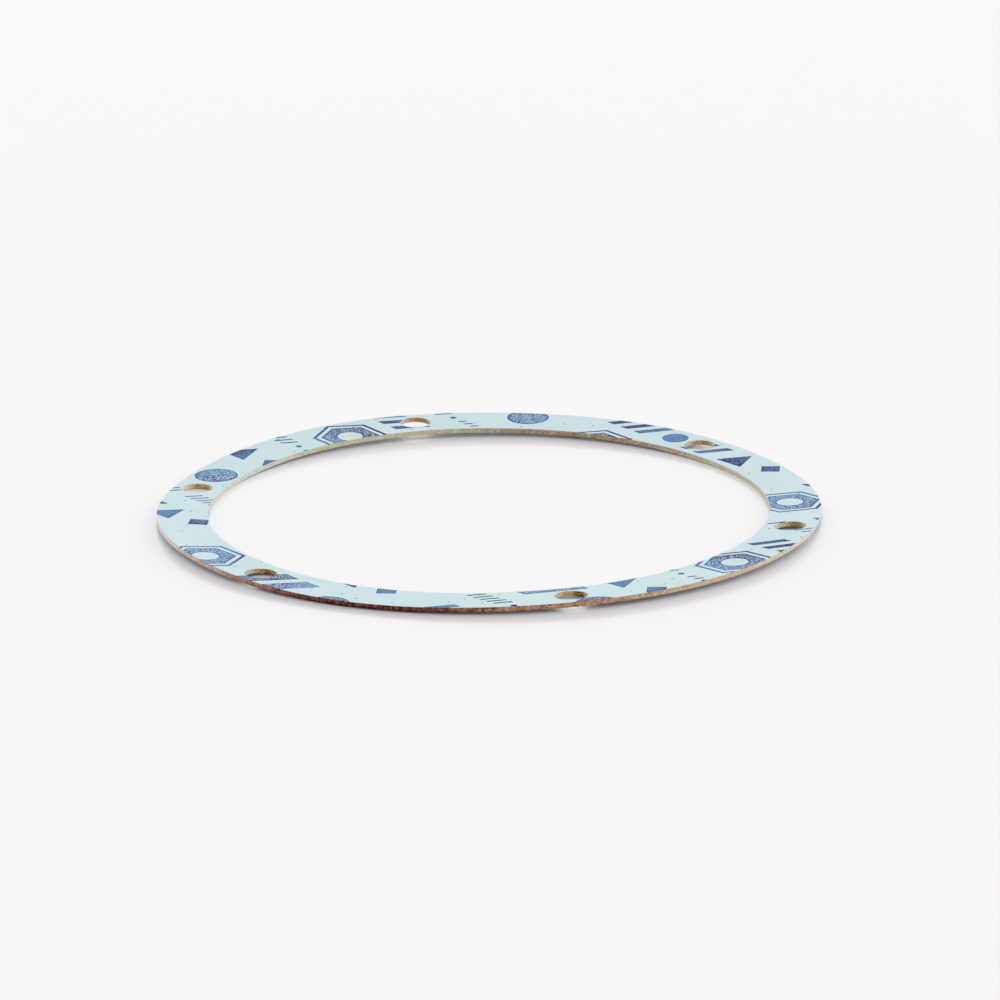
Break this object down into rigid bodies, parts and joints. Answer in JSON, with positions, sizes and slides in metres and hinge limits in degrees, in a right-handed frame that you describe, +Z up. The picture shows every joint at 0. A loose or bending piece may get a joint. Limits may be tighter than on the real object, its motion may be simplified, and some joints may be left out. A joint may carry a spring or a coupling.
{
  "type": "cover gasket",
  "caption": "Flat ring gasket for a round bolted cover, die-cut from thin fibre sheet, with bolt holes evenly spaced round the rim.",
  "frame": {"origin": "on the ring's axis, level with the lowest point of the underside, where the gasket touches the table", "axes": "+Z up through the sheet along the ring's axis, +X through the middle of one bolt hole"},
  "size_m": [0.13, 0.13, 0.0026],
  "materials": {
    "fibre_sheet": "matte"
  },
  "bodies": {
    "root": {"gasket": "fibre_sheet"}
  },
  "joints": []
}
